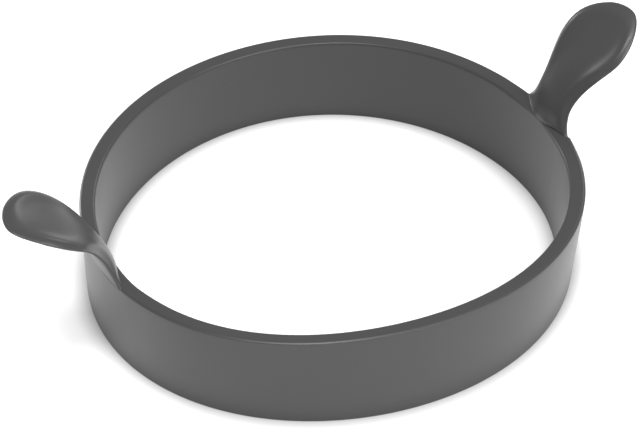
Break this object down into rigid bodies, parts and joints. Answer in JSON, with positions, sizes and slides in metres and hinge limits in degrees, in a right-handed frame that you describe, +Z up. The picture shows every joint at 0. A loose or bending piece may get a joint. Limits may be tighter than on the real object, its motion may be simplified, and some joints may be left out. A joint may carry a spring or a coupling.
{
  "type": "egg ring",
  "caption": "Flexible round ring that shapes a frying egg, open at top and bottom, with spoon-shaped grips that rise from its rim and curve outwards.",
  "frame": {"origin": "on the ring's axis, in the plane of the foot that stands on the pan", "axes": "+Z up along the ring's axis, +X towards the right grip, +Y away from the side that the grips lean to"},
  "size_m": [0.1306, 0.1, 0.0426],
  "materials": {
    "silicone": "satin"
  },
  "bodies": {
    "root": {"ring_band": "silicone", "left_grip": "silicone", "right_grip": "silicone"}
  },
  "joints": []
}
